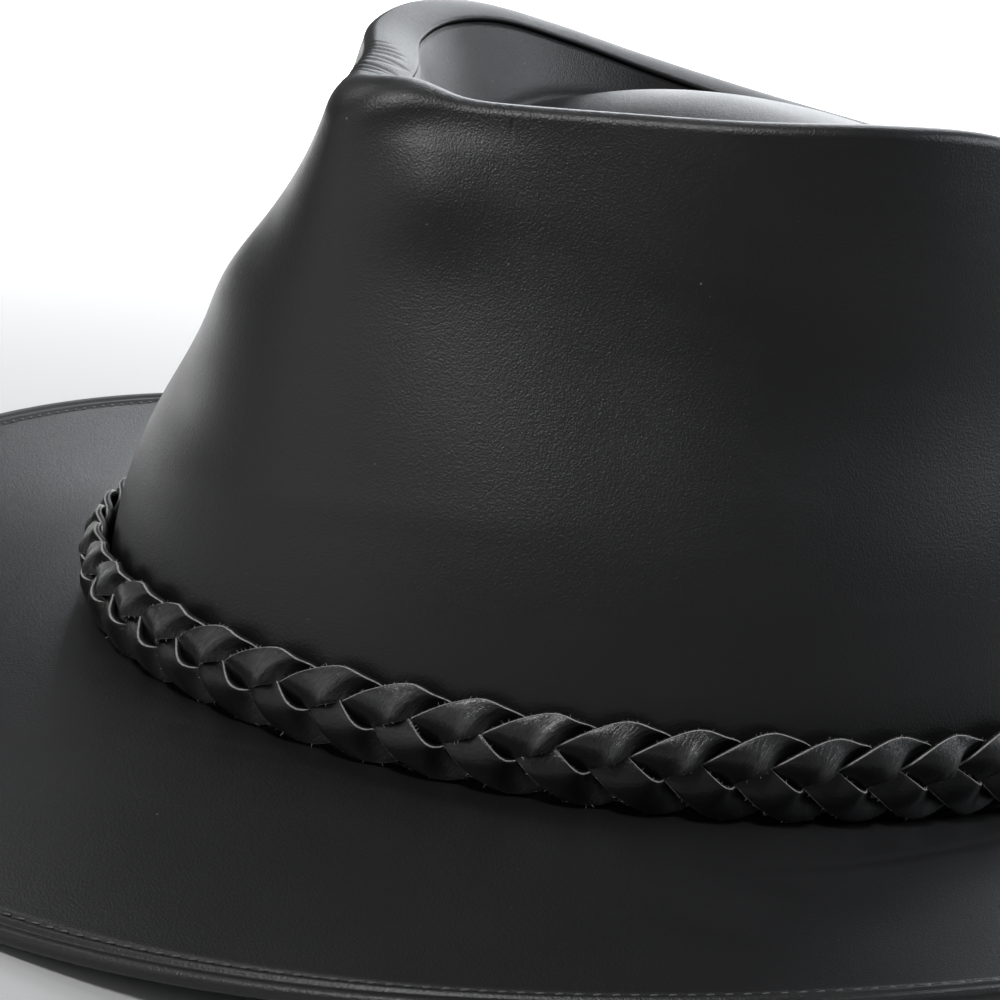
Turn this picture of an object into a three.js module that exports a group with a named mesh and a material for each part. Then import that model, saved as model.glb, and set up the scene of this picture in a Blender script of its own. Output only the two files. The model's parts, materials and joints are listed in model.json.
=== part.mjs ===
// A leather hat of the western kind: a cut and sewn crown with a sunken top, a wide brim
// with a turned hem, and a band braided from three flat leather straps.
// Millimetres, +Z up. The origin lies on the surface that the hat stands on, under the
// middle of the brim. The front of the hat faces -Y, and the wearer's left is +X.

import * as THREE from 'three';

const GAP = 0.35; // clearance between pieces that are sewn or laid against each other

const HEAD = {
  halfLength: 103, // crown's outer face at the brim, front to back
  halfWidth: 88.5,
  leather: 2.0,
};

const CROWN = {
  steps: 64, // sections round the crown
  lag: 10, // degrees that the ridge runs ahead of the foot at the sides
  belly: 0.36, // how far the wall stays out before it leans in, as a share of the lean
  front: { belly: 0.15, roll: 4.1, spread: 24 }, // more of both round the narrow front
  dent: { depth: 4.5, angle: 84, spread: 30, height: 0.66, reach: 0.24 }, // shallow side hollow
  wallRows: [0, 0.09, 0.2, 0.34, 0.5, 0.66, 0.82, 0.94],
  innerRows: [0.93, 0.66, 0.34, 0],
  rollRow: 0.7, // the corner half way round the roll, as a share of its radius
  foldRow: { width: 0.55, drop: 0.25 }, // where the fold bends down, as shares of its size
  rollRadius: 2.4,
  foldWidth: 7.5, // leather turned in over the ridge, up to the seam
  foldDrop: 2.0, // the seam lies this far under the ridge
  tipFold: 2.0, // extra fold width at the front point
};

// The ridge of the crown, from the front (0) to the back (180). Its other half mirrors it.
const RIDGE = [
  { angle: 0, half: 0, along: -80.0, up: 102.2 },
  { angle: 10, half: 3.2, along: -79.8, up: 102.0 },
  { angle: 20, half: 6.8, along: -78.8, up: 101.5 },
  { angle: 30, half: 10.5, along: -76.8, up: 101.2 },
  { angle: 40, half: 14.6, along: -73.6, up: 101.1 },
  { angle: 50, half: 20.6, along: -67.8, up: 101.7 },
  { angle: 60, half: 30.6, along: -58.4, up: 102.9 },
  { angle: 75, half: 48.0, along: -42.8, up: 105.3 },
  { angle: 90, half: 60.1, along: -25.3, up: 107.6 },
  { angle: 105, half: 64.6, along: -7.0, up: 107.9 },
  { angle: 120, half: 62.6, along: 11.6, up: 105.1 },
  { angle: 135, half: 54.9, along: 30.4, up: 101.0 },
  { angle: 150, half: 40.7, along: 47.4, up: 97.4 },
  { angle: 165, half: 21.3, along: 59.5, up: 95.1 },
  { angle: 180, half: 0, along: 63.6, up: 94.3 },
];

const TIP = {
  leather: 2.0,
  tuck: 3.2, // how far the panel reaches in under the fold
  lipDrop: 0.5, // fall of the panel's lip as a share of the fold's drop
  edge: { inwards: 0.8, down: 0.6 }, // the visible face starts this far past the seam
  pole: { along: 2 }, // middle of the panel
  rings: [0.9, 0.78, 0.64, 0.5, 0.34, 0.17], // share of the way from the middle to the seam
  underRings: [0.9, 0.64, 0.34],
  wallSlope: 1.7, // fall of the panel just inside the seam
  dome: { height: 102.6, along: -2, front: 18, back: 33, side: 31, fall: 5.5 },
  blend: 5, // rounding between the wall and the dome
};

const BRIM = {
  steps: 80,
  halfLength: 172.5,
  halfWidth: 158,
  leather: 2.2,
  tuck: 2.3, // how far the brim reaches in under the crown's wall
  meanEdge: -5.8, // height of the edge over the crown's foot, all round
  sideCurl: 11.7, // the sides curl up and the ends dip by this much
  sag: 2.5, // the sides dip a little before they curl up
  bendShare: 0.62, // share of the dip that comes as a curve rather than as a slope
  rows: [0, 0.06, 0.2, 0.36, 0.52, 0.68, 0.84],
  underRows: [0.8, 0.5, 0.2, 0],
  hem: { width: 9, bead: 2.0, turned: 1.0, hang: 2.3 }, // hang: lowest point of the hem under its top
  flat: 0.9, // depth of hem that presses flat where the hat rests
};

const BRAID = {
  strands: 3,
  turns: 18, // waves of each strap round the crown
  stepsPerTurn: 10,
  strap: { width: 4.8, thickness: 1.0 },
  sway: 4.7, // up and down
  weave: 1.9, // in and out
  twist: 0.15, // tilt of the strap at a crossing, radians
  slack: 0.55, // room for the corners of a tilted strap
  height: 8.3, // middle of the band over the crown's foot
  shift: -18.6, // where the pattern starts, along the band from the front
};

// Height of the crown's foot over the surface that the hat rests on.
const LIFT = BRIM.sideCurl - BRIM.meanEdge + BRIM.hem.hang - BRIM.flat;

const radians = THREE.MathUtils.degToRad;

// Smooth value of a column of the ridge table. An odd column changes sign on the far half.
function ridgeColumn(name, degrees) {
  const turn = THREE.MathUtils.euclideanModulo(degrees, 360);
  const odd = name === 'half';
  const mirrored = turn > 180;
  const at = mirrored ? 360 - turn : turn;
  const last = RIDGE.length - 1;
  const row = (i) => {
    if (i < 0) return { angle: -RIDGE[-i].angle, value: (odd ? -1 : 1) * RIDGE[-i][name] };
    if (i > last) {
      const back = RIDGE[2 * last - i];
      return { angle: 360 - back.angle, value: (odd ? -1 : 1) * back[name] };
    }
    return { angle: RIDGE[i].angle, value: RIDGE[i][name] };
  };
  let i = 0;
  while (i < last - 1 && RIDGE[i + 1].angle <= at) i += 1;
  const [a, b, c, d] = [row(i - 1), row(i), row(i + 1), row(i + 2)];
  const span = c.angle - b.angle;
  const x = (at - b.angle) / span;
  const leave = ((c.value - a.value) / (c.angle - a.angle)) * span;
  const arrive = ((d.value - b.value) / (d.angle - b.angle)) * span;
  const value =
    b.value * (1 + 2 * x) * (1 - x) ** 2 +
    leave * x * (1 - x) ** 2 +
    c.value * x ** 2 * (3 - 2 * x) +
    arrive * x ** 2 * (x - 1);
  return odd && mirrored ? -value : value;
}

function ridge(degrees) {
  return new THREE.Vector3(
    ridgeColumn('half', degrees),
    ridgeColumn('along', degrees),
    ridgeColumn('up', degrees) + LIFT,
  );
}

// Level direction from the ridge towards the middle of the crown, square to the ridge.
function ridgeInward(degrees) {
  const step = 1.5;
  const along = ridge(degrees + step).sub(ridge(degrees - step));
  return new THREE.Vector3(-along.y, along.x, 0).normalize();
}

// Level bell shape: 1 in the middle and 0 a few spreads away.
function bell(distance, spread) {
  return Math.exp(-((distance / spread) ** 2));
}

// 1 at the front point of the crown and 0 at its sides.
function nearFront(degrees) {
  const fromFront = degrees > 180 ? 360 - degrees : degrees;
  return bell(fromFront, CROWN.front.spread);
}

// The roll over the ridge is tight at the sides and wide at the front.
function rollRadius(degrees) {
  return CROWN.rollRadius + CROWN.front.roll * nearFront(degrees);
}

// Outer face of the crown: share 0 at its foot, 1 where the ridge starts to roll over.
function crownWall(degrees, share) {
  const footAngle = radians(degrees - CROWN.lag * Math.sin(radians(degrees)));
  const foot = new THREE.Vector3(
    HEAD.halfWidth * Math.sin(footAngle),
    -HEAD.halfLength * Math.cos(footAngle),
    LIFT + GAP,
  );
  const inward = ridgeInward(degrees);
  const radius = rollRadius(degrees);
  const top = ridge(degrees).addScaledVector(inward, -radius);
  top.z -= radius;
  const belly = CROWN.belly + CROWN.front.belly * nearFront(degrees);
  const lean = share - belly * 4 * share * (1 - share) * (1 - share);
  const point = new THREE.Vector3(
    THREE.MathUtils.lerp(foot.x, top.x, lean),
    THREE.MathUtils.lerp(foot.y, top.y, lean),
    THREE.MathUtils.lerp(foot.z, top.z, share),
  );
  const side = degrees > 180 ? 360 - degrees : degrees;
  const { depth, angle, spread, height, reach } = CROWN.dent;
  const dent = depth * bell(side - angle, spread) * bell(share - height, reach);
  return point.addScaledVector(inward, dent * share * (1 - share) * 4);
}

// A point of the crown's rolled top, by its level way in from the ridge and its fall.
function rollPoint(degrees, inwardBy, fall) {
  const point = ridge(degrees).addScaledVector(ridgeInward(degrees), inwardBy);
  point.z -= fall;
  return point;
}

function foldWidth(degrees) {
  const fromFront = degrees > 180 ? 360 - degrees : degrees;
  return CROWN.foldWidth + CROWN.tipFold * bell(fromFront, 12);
}

function crownSection(degrees) {
  const r = rollRadius(degrees);
  const turn = CROWN.rollRow;
  const inside = r - HEAD.leather;
  const wide = foldWidth(degrees);
  const drop = CROWN.foldDrop;
  const bend = [CROWN.foldRow.width * wide, CROWN.foldRow.drop * drop];
  const inward = ridgeInward(degrees);
  const outer = CROWN.wallRows.map((share) => crownWall(degrees, share));
  const roll = [
    [-r, r],
    [-turn * r, (1 - turn) * r],
    [0, 0],
    bend,
    [wide, drop],
    [wide, drop + HEAD.leather],
    [bend[0], bend[1] + HEAD.leather],
    [0, HEAD.leather],
    [-turn * inside, r - turn * inside],
  ].map(([inwardBy, fall]) => rollPoint(degrees, inwardBy, fall));
  const inner = CROWN.innerRows.map((share) =>
    crownWall(degrees, share).addScaledVector(inward, HEAD.leather));
  return [...outer, ...roll, ...inner];
}

// Closed body swept round the hat: one closed section for each step, all with like corners.
function ringBody(sections) {
  const corners = sections[0].length;
  const positions = sections.flat().flatMap((p) => [p.x, p.y, p.z]);
  const index = [];
  sections.forEach((_, i) => {
    const here = i * corners;
    const next = ((i + 1) % sections.length) * corners;
    for (let j = 0; j < corners; j += 1) {
      const k = (j + 1) % corners;
      index.push(here + j, next + j, next + k, here + j, next + k, here + k);
    }
  });
  return outwardGeometry(positions, index);
}

// Geometry whose faces point out, whichever way its loops ran.
function outwardGeometry(positions, index) {
  const point = (i) => new THREE.Vector3().fromArray(positions, 3 * i);
  let volume = 0;
  for (let i = 0; i < index.length; i += 3) {
    volume += point(index[i]).dot(point(index[i + 1]).cross(point(index[i + 2])));
  }
  if (volume < 0) {
    for (let i = 0; i < index.length; i += 3) {
      [index[i + 1], index[i + 2]] = [index[i + 2], index[i + 1]];
    }
  }
  const geometry = new THREE.BufferGeometry();
  geometry.setAttribute('position', new THREE.Float32BufferAttribute(positions, 3));
  geometry.setIndex(index);
  geometry.computeVertexNormals();
  return geometry;
}

function stepAngles(steps) {
  return Array.from({ length: steps }, (_, i) => (360 * i) / steps);
}

function crownSide() {
  return ringBody(stepAngles(CROWN.steps).map(crownSection));
}

// Larger of two heights, with the corner between them rounded over.
function roundedMax(a, b, rounding) {
  const mix = THREE.MathUtils.clamp(0.5 + (a - b) / (2 * rounding), 0, 1);
  return THREE.MathUtils.lerp(b, a, mix) + rounding * mix * (1 - mix);
}

// Top face of the tip panel: share 1 is the line just inside the seam, 0 the middle.
function tipPoint(degrees, share) {
  const edge = rollPoint(degrees, foldWidth(degrees) + TIP.edge.inwards,
    CROWN.foldDrop + HEAD.leather + TIP.edge.down);
  const middle = new THREE.Vector3(0, TIP.pole.along, edge.z);
  const point = edge.clone().lerp(middle, 1 - share);
  const wall = edge.z - TIP.wallSlope * point.distanceTo(edge);
  const { height, along, front, back, side, fall } = TIP.dome;
  const ahead = point.y - along;
  const reach = ahead < 0 ? front : back;
  const dome = LIFT + height - fall * ((ahead / reach) ** 2 + (point.x / side) ** 2);
  point.z = roundedMax(wall, dome, TIP.blend);
  return point;
}

// The panel's underside lies one leather below its top face, square to it.
function tipUnder(degrees, share) {
  const around = tipPoint(degrees + 1, share).sub(tipPoint(degrees - 1, share));
  const inwards = tipPoint(degrees, share - 0.02).sub(tipPoint(degrees, share + 0.02));
  const down = around.cross(inwards).normalize();
  if (down.z > 0) down.negate();
  return tipPoint(degrees, share).addScaledVector(down, TIP.leather);
}

function crownTip() {
  const angles = stepAngles(CROWN.steps);
  const lip = (fall) => angles.map((degrees) => {
    const wide = foldWidth(degrees) - TIP.tuck;
    return rollPoint(degrees, wide, TIP.lipDrop * CROWN.foldDrop + HEAD.leather + GAP + fall);
  });
  const above = [lip(0), ...[1, ...TIP.rings].map((s) => angles.map((a) => tipPoint(a, s)))];
  const below = [...TIP.underRings.slice().reverse().map((s) => angles.map((a) => tipUnder(a, s))),
    lip(TIP.leather)];
  const rings = [...above, ...below];
  const positions = rings.flat().flatMap((p) => [p.x, p.y, p.z]);
  const count = angles.length;
  const index = [];
  const band = (i, j) => {
    for (let k = 0; k < count; k += 1) {
      const next = (k + 1) % count;
      index.push(i * count + k, i * count + next, j * count + next);
      index.push(i * count + k, j * count + next, j * count + k);
    }
  };
  for (let i = 0; i < above.length - 1; i += 1) band(i, i + 1);
  for (let i = above.length; i < rings.length - 1; i += 1) band(i, i + 1);
  band(rings.length - 1, 0);
  const topPole = positions.length / 3;
  const pole = tipPoint(0, 0);
  positions.push(pole.x, pole.y, pole.z, pole.x, pole.y, pole.z - TIP.leather);
  for (let k = 0; k < count; k += 1) {
    const next = (k + 1) % count;
    index.push((above.length - 1) * count + k, (above.length - 1) * count + next, topPole);
    index.push(above.length * count + next, above.length * count + k, topPole + 1);
  }
  return outwardGeometry(positions, index);
}

// Top face of the brim: share 0 under the crown's inner edge, 1 at the hem's edge.
function brimTop(degrees, share) {
  const angle = radians(degrees);
  const inner = [HEAD.halfWidth - BRIM.tuck, HEAD.halfLength - BRIM.tuck];
  const halfWidth = THREE.MathUtils.lerp(inner[0], BRIM.halfWidth, share);
  const halfLength = THREE.MathUtils.lerp(inner[1], BRIM.halfLength, share);
  const dip = BRIM.meanEdge - BRIM.sideCurl * Math.cos(2 * angle);
  const rise = Math.max(0, share - BRIM.rows[1]) / (1 - BRIM.rows[1]);
  const sideways = Math.sin(angle) ** 2;
  const bend = THREE.MathUtils.lerp(rise, rise ** 2, BRIM.bendShare);
  const height = dip * bend - BRIM.sag * sideways * Math.sin(Math.PI * rise);
  return new THREE.Vector3(
    halfWidth * Math.sin(angle),
    -halfLength * Math.cos(angle),
    LIFT + height,
  );
}

// A point of the brim's section, moved outwards along the face and up square to it.
function brimPoint(degrees, share, outBy, upBy) {
  const outwards = brimTop(degrees, share).sub(brimTop(degrees, share - 0.03)).normalize();
  const level = new THREE.Vector3(outwards.x, outwards.y, 0).normalize();
  const up = new THREE.Vector3(-level.x * outwards.z, -level.y * outwards.z,
    Math.hypot(outwards.x, outwards.y));
  const point = brimTop(degrees, share).addScaledVector(outwards, outBy).addScaledVector(up, upBy);
  point.z = Math.max(point.z, 0);
  return point;
}

function brimSection(degrees) {
  const { bead, width, turned } = BRIM.hem;
  const thick = BRIM.leather;
  const top = BRIM.rows.map((share) => brimPoint(degrees, share, 0, 0));
  const hem = [
    [-2 * bead - 0.4, 0],
    [-bead, 0.35 * bead],
    [-0.3 * bead, 0],
    [0, -0.65 * bead],
    [-0.3 * bead, -1.35 * bead],
    [-bead, -1.65 * bead],
    [-width, -thick - turned],
    [-width - 0.3, -thick],
  ].map(([outBy, upBy]) => brimPoint(degrees, 1, outBy, upBy));
  const under = BRIM.underRows.map((share) => brimPoint(degrees, share, 0, -thick));
  return [...top, ...hem, ...under];
}

function brim() {
  return ringBody(stepAngles(BRIM.steps).map(brimSection));
}

// The band's middle line lies against the crown, just over the brim.
function bandFrames() {
  const share = BRAID.height / ridgeColumn('up', 0);
  const standOff = GAP + BRAID.weave + BRAID.strap.thickness / 2 + BRAID.slack;
  const count = 720;
  const frames = stepAngles(count).map((degrees) => {
    const foot = crownWall(degrees, share);
    const along = crownWall(degrees + 0.5, share).sub(crownWall(degrees - 0.5, share)).normalize();
    const up = crownWall(degrees, share + 0.03).sub(crownWall(degrees, share - 0.03));
    up.addScaledVector(along, -up.dot(along)).normalize();
    const out = along.clone().cross(up).normalize();
    foot.z = LIFT + BRAID.height;
    return { middle: foot.addScaledVector(out, standOff), along, up, out };
  });
  let length = 0;
  frames.forEach((frame, i) => {
    frame.at = length;
    length += frame.middle.distanceTo(frames[(i + 1) % count].middle);
  });
  return { frames, length };
}

function frameAt({ frames, length }, distance) {
  const at = THREE.MathUtils.euclideanModulo(distance, length);
  let i = frames.length - 1;
  while (frames[i].at > at) i -= 1;
  const here = frames[i];
  const next = frames[(i + 1) % frames.length];
  const span = (i + 1 < frames.length ? next.at : length) - here.at;
  const mix = (at - here.at) / span;
  const blend = (name) => here[name].clone().lerp(next[name], mix);
  return { middle: blend('middle'), along: blend('along'), up: blend('up'), out: blend('out') };
}

function bandStrand(band, number) {
  const steps = BRAID.turns * BRAID.stepsPerTurn;
  const { width, thickness } = BRAID.strap;
  const turnLength = band.length / BRAID.turns;
  const sections = Array.from({ length: steps }, (_, i) => {
    const wave = (2 * Math.PI * i) / BRAID.stepsPerTurn + (2 * Math.PI * number) / BRAID.strands;
    const { middle, along, up, out } = frameAt(band, BRAID.shift + (band.length * i) / steps);
    const centre = middle
      .addScaledVector(up, BRAID.sway * Math.sin(wave))
      .addScaledVector(out, BRAID.weave * Math.sin(2 * wave));
    const slope = Math.atan(((2 * Math.PI * BRAID.sway) / turnLength) * Math.cos(wave));
    const across = up.clone().multiplyScalar(Math.cos(slope))
      .addScaledVector(along, -Math.sin(slope));
    const tilt = BRAID.twist * Math.cos(3 * wave);
    const wide = across.clone().multiplyScalar(Math.cos(tilt)).addScaledVector(out, Math.sin(tilt));
    const face = out.clone().multiplyScalar(Math.cos(tilt)).addScaledVector(across, -Math.sin(tilt));
    const corner = (w, f) => centre.clone()
      .addScaledVector(wide, (w * width) / 2)
      .addScaledVector(face, (f * thickness) / 2);
    return [corner(-1, -1), corner(1, -1), corner(1, 1), corner(-1, 1)];
  });
  return ringBody(sections);
}

function leather(colour, roughness) {
  return new THREE.MeshStandardMaterial({ color: colour, roughness, metalness: 0 });
}

function piece(name, geometry, material) {
  const mesh = new THREE.Mesh(geometry, material);
  mesh.name = name;
  return mesh;
}

const smoothLeather = leather(0x1b1b1c, 0.42);
const strapLeather = leather(0x151516, 0.5);

const hat = new THREE.Group();
hat.add(piece('crown_side', crownSide(), smoothLeather));
hat.add(piece('crown_tip', crownTip(), smoothLeather));
hat.add(piece('brim', brim(), smoothLeather));
const band = bandFrames();
for (let number = 0; number < BRAID.strands; number += 1) {
  hat.add(piece(`band_strand_${number + 1}`, bandStrand(band, number), strapLeather));
}

export default hat;
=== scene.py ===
# %% [markdown]
# # A black leather hat with a braided band
#
# The hat is cut and sewn from smooth black cowhide. A side wall stands on a wide brim,
# its top is turned in over the ridge, and a sunken panel closes the crown. Three flat
# straps are braided into the band.
#
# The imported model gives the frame: sizes, places and the solids for collision. This
# notebook makes the leather that is seen. Every piece is worked out from the same few
# sizes as the solids, only far finer, and lies within about 3 mm of its solid.

# %% Load the frame and keep its box
import json
import math
import bpy
import numpy as np
from mathutils import Matrix, Vector

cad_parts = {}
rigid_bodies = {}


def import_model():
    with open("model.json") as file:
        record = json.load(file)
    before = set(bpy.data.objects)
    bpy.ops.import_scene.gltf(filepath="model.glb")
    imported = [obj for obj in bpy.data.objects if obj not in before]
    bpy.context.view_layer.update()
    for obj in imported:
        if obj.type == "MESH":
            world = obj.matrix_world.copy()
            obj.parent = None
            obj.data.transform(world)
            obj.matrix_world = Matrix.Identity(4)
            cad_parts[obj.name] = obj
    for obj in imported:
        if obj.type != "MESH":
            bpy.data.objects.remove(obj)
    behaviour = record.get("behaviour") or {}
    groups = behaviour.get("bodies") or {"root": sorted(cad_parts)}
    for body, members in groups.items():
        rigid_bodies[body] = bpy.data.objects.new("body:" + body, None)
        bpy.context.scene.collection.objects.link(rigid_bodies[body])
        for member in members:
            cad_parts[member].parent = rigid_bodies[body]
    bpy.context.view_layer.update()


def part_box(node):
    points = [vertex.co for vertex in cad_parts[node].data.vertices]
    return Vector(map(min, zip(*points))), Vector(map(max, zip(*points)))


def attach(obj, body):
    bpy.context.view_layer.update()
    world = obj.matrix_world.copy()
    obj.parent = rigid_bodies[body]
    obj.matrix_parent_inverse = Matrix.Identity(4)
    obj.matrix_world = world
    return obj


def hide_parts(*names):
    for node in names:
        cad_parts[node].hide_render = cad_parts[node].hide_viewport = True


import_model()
MM = 0.001
GAP = 0.35  # stands for a sewn seam, in mm
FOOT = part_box("crown_side")[0][2] / MM - GAP
print("crown foot over the floor, mm:", round(FOOT, 2))

# %% [markdown]
# ## The camera
#
# The picture is taken from the wearer's front left, a little above the brim, with a
# long lens and the camera rolled by almost nine degrees. The numbers come from fitting
# the even notches of the braid and the crown's ridge. In a frame 1000 pixels wide, 1 mm
# covers one pixel at 3089 mm, so the lens is 3.089 times as long as the sensor is wide.

# %% Camera
CAMERA_PLACE = Vector((389.5, -394.2, 179.7)) * MM
CAMERA_TARGET = Vector((-44.1, 0.0, 32.8)) * MM
CAMERA_ROLL = math.radians(8.81)
FOCAL_PIXELS = 3089
FRAME_PIXELS = 1000
SENSOR = 36.0


def make_camera():
    back = (CAMERA_PLACE - CAMERA_TARGET).normalized()
    level = Vector((0, 0, 1)).cross(back).normalized()
    lift = back.cross(level)
    right = level * math.cos(CAMERA_ROLL) + lift * math.sin(CAMERA_ROLL)
    upward = lift * math.cos(CAMERA_ROLL) - level * math.sin(CAMERA_ROLL)
    data = bpy.data.cameras.new("view_camera")
    data.sensor_width = SENSOR
    data.lens = FOCAL_PIXELS / FRAME_PIXELS * SENSOR
    data.clip_start = 0.01
    camera = bpy.data.objects.new("view_camera", data)
    turn = Matrix((right, upward, back)).transposed().to_4x4()
    camera.matrix_world = Matrix.Translation(CAMERA_PLACE) @ turn
    bpy.context.collection.objects.link(camera)
    bpy.context.scene.camera = camera
    return camera


camera = make_camera()
print("lens, mm:", round(camera.data.lens, 1))

# %% [markdown]
# ## Shader maths as Python
#
# Node trees are hard to read as lists of links. A small class wraps a socket, so that
# `grain * 0.5 + pores` adds the Math nodes by itself. Anything that isn't arithmetic
# comes from one method, `node`, which sets a node's options and then its inputs. The
# helper behind it also serves the Geometry Nodes further down.

# %% A socket that knows arithmetic


def add_node(tree, kind, settings, inputs):
    """A new node: options first, then inputs. i0 is the first input, Any_Name goes by name."""
    made = tree.nodes.new(kind)
    for name, value in (settings or {}).items():
        setattr(made, name, value)
    for name, value in inputs.items():
        numbered = name[0] == "i" and name[1:].isdigit()
        socket = made.inputs[int(name[1:]) if numbered else name.replace("_", " ")]
        source = value.socket if isinstance(value, Wire) else value
        if isinstance(source, bpy.types.NodeSocket):
            tree.links.new(source, socket)
        else:
            socket.default_value = source
    return made


class Wire:
    def __init__(self, tree, socket):
        self.tree = tree
        self.socket = socket

    def node(self, kind, settings=None, out=0, **inputs):
        return Wire(self.tree, add_node(self.tree, kind, settings, inputs).outputs[out])

    def math(self, operation, other):
        return self.node("ShaderNodeMath", {"operation": operation}, i0=self, i1=other)

    def __add__(self, other):
        return self.math("ADD", other)

    def __mul__(self, other):
        return self.math("MULTIPLY", other)

    def __sub__(self, other):
        return self.math("SUBTRACT", other)

    def __rsub__(self, other):
        return self.node("ShaderNodeMath", {"operation": "SUBTRACT"}, i0=other, i1=self)

    __radd__ = __add__
    __rmul__ = __mul__

    def fade(self, start, end):
        """0 at start and 1 at end, with soft shoulders."""
        return self.node("ShaderNodeMapRange", {"interpolation_type": "SMOOTHSTEP"},
                         i0=self, i1=start, i2=end, i3=0.0, i4=1.0)

    def mix(self, low, high):
        """A colour between low and high, with this wire as the share of high."""
        return self.node("ShaderNodeMix", {"data_type": "RGBA"}, out=2, i0=self, i6=low, i7=high)

    def noise(self, scale, detail=2.0, roughness=0.5, distortion=0.0):
        return self.node("ShaderNodeTexNoise", Vector=self, Scale=scale, Detail=detail,
                         Roughness=roughness, Distortion=distortion)

    def cells(self, scale):
        return self.node("ShaderNodeTexVoronoi", Vector=self, Scale=scale)

    def stretched(self, *scale):
        return self.node("ShaderNodeMapping", i0=self, i3=scale)

    def feed(self, shader, label):
        self.tree.links.new(self.socket, shader.inputs[label])


def new_material(name):
    material = bpy.data.materials.new(name)
    material.use_nodes = True
    tree = material.node_tree
    shader = tree.nodes["Principled BSDF"]
    place = Wire(tree, tree.nodes.new("ShaderNodeTexCoord").outputs["Object"])
    return material, tree, shader, place


# %% [markdown]
# ## Smooth black leather
#
# The skin is almost black, and what makes it leather is how it shines: a wide, soft
# highlight from the wax, broken by a very fine grain and a few broader marks. Grain and
# pores are well under a millimetre, so they are bump. Roughness drifts slowly, where
# hands have polished the skin. A little dust gives the pale specks of the photo.

# %% Leather material
LEATHER = {"new": (0.0085, 0.0085, 0.0090, 1), "worn": (0.017, 0.017, 0.018, 1),
           "dust": (0.12, 0.12, 0.12, 1), "roughness": 0.39, "bump": 0.75}
GRAIN_HEIGHT = 0.00012


def leather_material(name):
    material, tree, shader, place = new_material(name)
    shader.inputs["IOR"].default_value = 1.5
    shader.inputs["Specular IOR Level"].default_value = 0.5
    drift = place.noise(14.0, 3.0)
    smear = place.stretched(1.0, 1.0, 3.0).noise(60.0, 4.0, 0.6)
    fine = place.cells(2600.0)
    pore = place.noise(2400.0, 3.0, 0.65)
    shagreen = place.noise(520.0, 2.0, 0.5)
    speck = place.cells(300.0).fade(0.075, 0.045) * place.noise(90.0, 1.0).fade(0.62, 0.72)
    worn = (drift.fade(0.42, 0.78) * 0.5 + smear.fade(0.55, 0.85) * 0.35).math("MINIMUM", 1.0)
    tone = worn.mix(LEATHER["new"], LEATHER["worn"])
    speck.mix(tone, LEATHER["dust"]).feed(shader, "Base Color")
    unevenly = (drift - 0.5) * 0.16
    rough = LEATHER["roughness"] + unevenly + (smear - 0.5) * 0.10 + (pore - 0.5) * 0.10
    rough.feed(shader, "Roughness")
    height = fine * 0.35 + pore * 0.75 + shagreen * 0.25
    place.node("ShaderNodeBump", Strength=LEATHER["bump"], Distance=GRAIN_HEIGHT,
               Height=height).feed(shader, "Normal")
    return material


crown_leather = leather_material("crown_skin")
brim_leather = leather_material("brim_skin")
print("leather materials:", crown_leather.name, brim_leather.name)

# %% [markdown]
# ## A mesh from rings of points
#
# Crown, brim and straps all bend round the head, so each is a closed section swept
# round a loop. One helper turns an array of points, section by section, into a closed
# mesh. Its UV map is in metres along and across, and serves the creases of the braid.

# %% Mesh helper


def link(name, mesh):
    made = bpy.data.objects.new(name, mesh)
    bpy.context.collection.objects.link(made)
    return made


def swept_mesh(name, grid, uv, material):
    """grid[i, j]: point j of section i, in mm. Both ways round are closed."""
    around, across = grid.shape[:2]
    mesh = bpy.data.meshes.new(name)
    mesh.vertices.add(around * across)
    mesh.vertices.foreach_set("co", (grid * MM).reshape(-1).astype(np.float32))
    i, j = np.meshgrid(np.arange(around), np.arange(across), indexing="ij")
    ahead, beside = (i + 1) % around, (j + 1) % across
    corners = [(i, j), (ahead, j), (ahead, beside), (i, beside)]
    faces = np.stack([a * across + b for a, b in corners], -1).reshape(-1, 4)
    centre = grid.mean((0, 1))
    a, b, c, d = (grid.reshape(-1, 3)[faces[:, k]] for k in range(4))
    volume = np.einsum("ij,ij->i", a - centre, np.cross(b - centre, c - centre)).sum()
    volume += np.einsum("ij,ij->i", a - centre, np.cross(c - centre, d - centre)).sum()
    order = [0, 1, 2, 3] if volume > 0 else [3, 2, 1, 0]
    mesh.loops.add(faces.size)
    mesh.loops.foreach_set("vertex_index", faces[:, order].reshape(-1))
    mesh.polygons.add(len(faces))
    mesh.polygons.foreach_set("loop_start", np.arange(0, faces.size, 4))
    mesh.polygons.foreach_set("use_smooth", np.ones(len(faces), bool))
    u, v = uv
    u_all = np.append(u, u[-1] + (u[-1] - u[-2]))
    v_all = np.append(v, v[-1] + (v[-1] - v[-2]))
    steps = ((0, 0), (1, 0), (1, 1), (0, 1))
    flat = np.stack([np.stack([u_all[i + p], v_all[j + q]], -1) for p, q in steps], -2)
    layer = mesh.uv_layers.new(name="along_across")
    layer.data.foreach_set("uv", (flat.reshape(-1, 4, 2)[:, order] * MM).reshape(-1))
    mesh.update()
    mesh.validate()
    mesh.materials.append(material)
    return link(name, mesh)


def bell(distance, spread):
    return np.exp(-(distance / spread) ** 2)


def smooth_step(x):
    x = np.clip(x, 0, 1)
    return x * x * (3 - 2 * x)


def signed(degrees):
    """The same angle between -180 and 180."""
    return np.mod(degrees + 180, 360) - 180


def way_along(points):
    """Length from the first point to each point of a line."""
    return np.concatenate([[0], np.cumsum(np.linalg.norm(np.diff(points, axis=0), axis=1))])


# %% [markdown]
# ## The ridge of the crown
#
# Everything on the crown hangs from one line: the ridge, where the side leather turns
# in. It is a teardrop, narrow at the front and broad behind. A short table gives the
# right half, from front to back, and a smooth curve runs through it.

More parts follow.
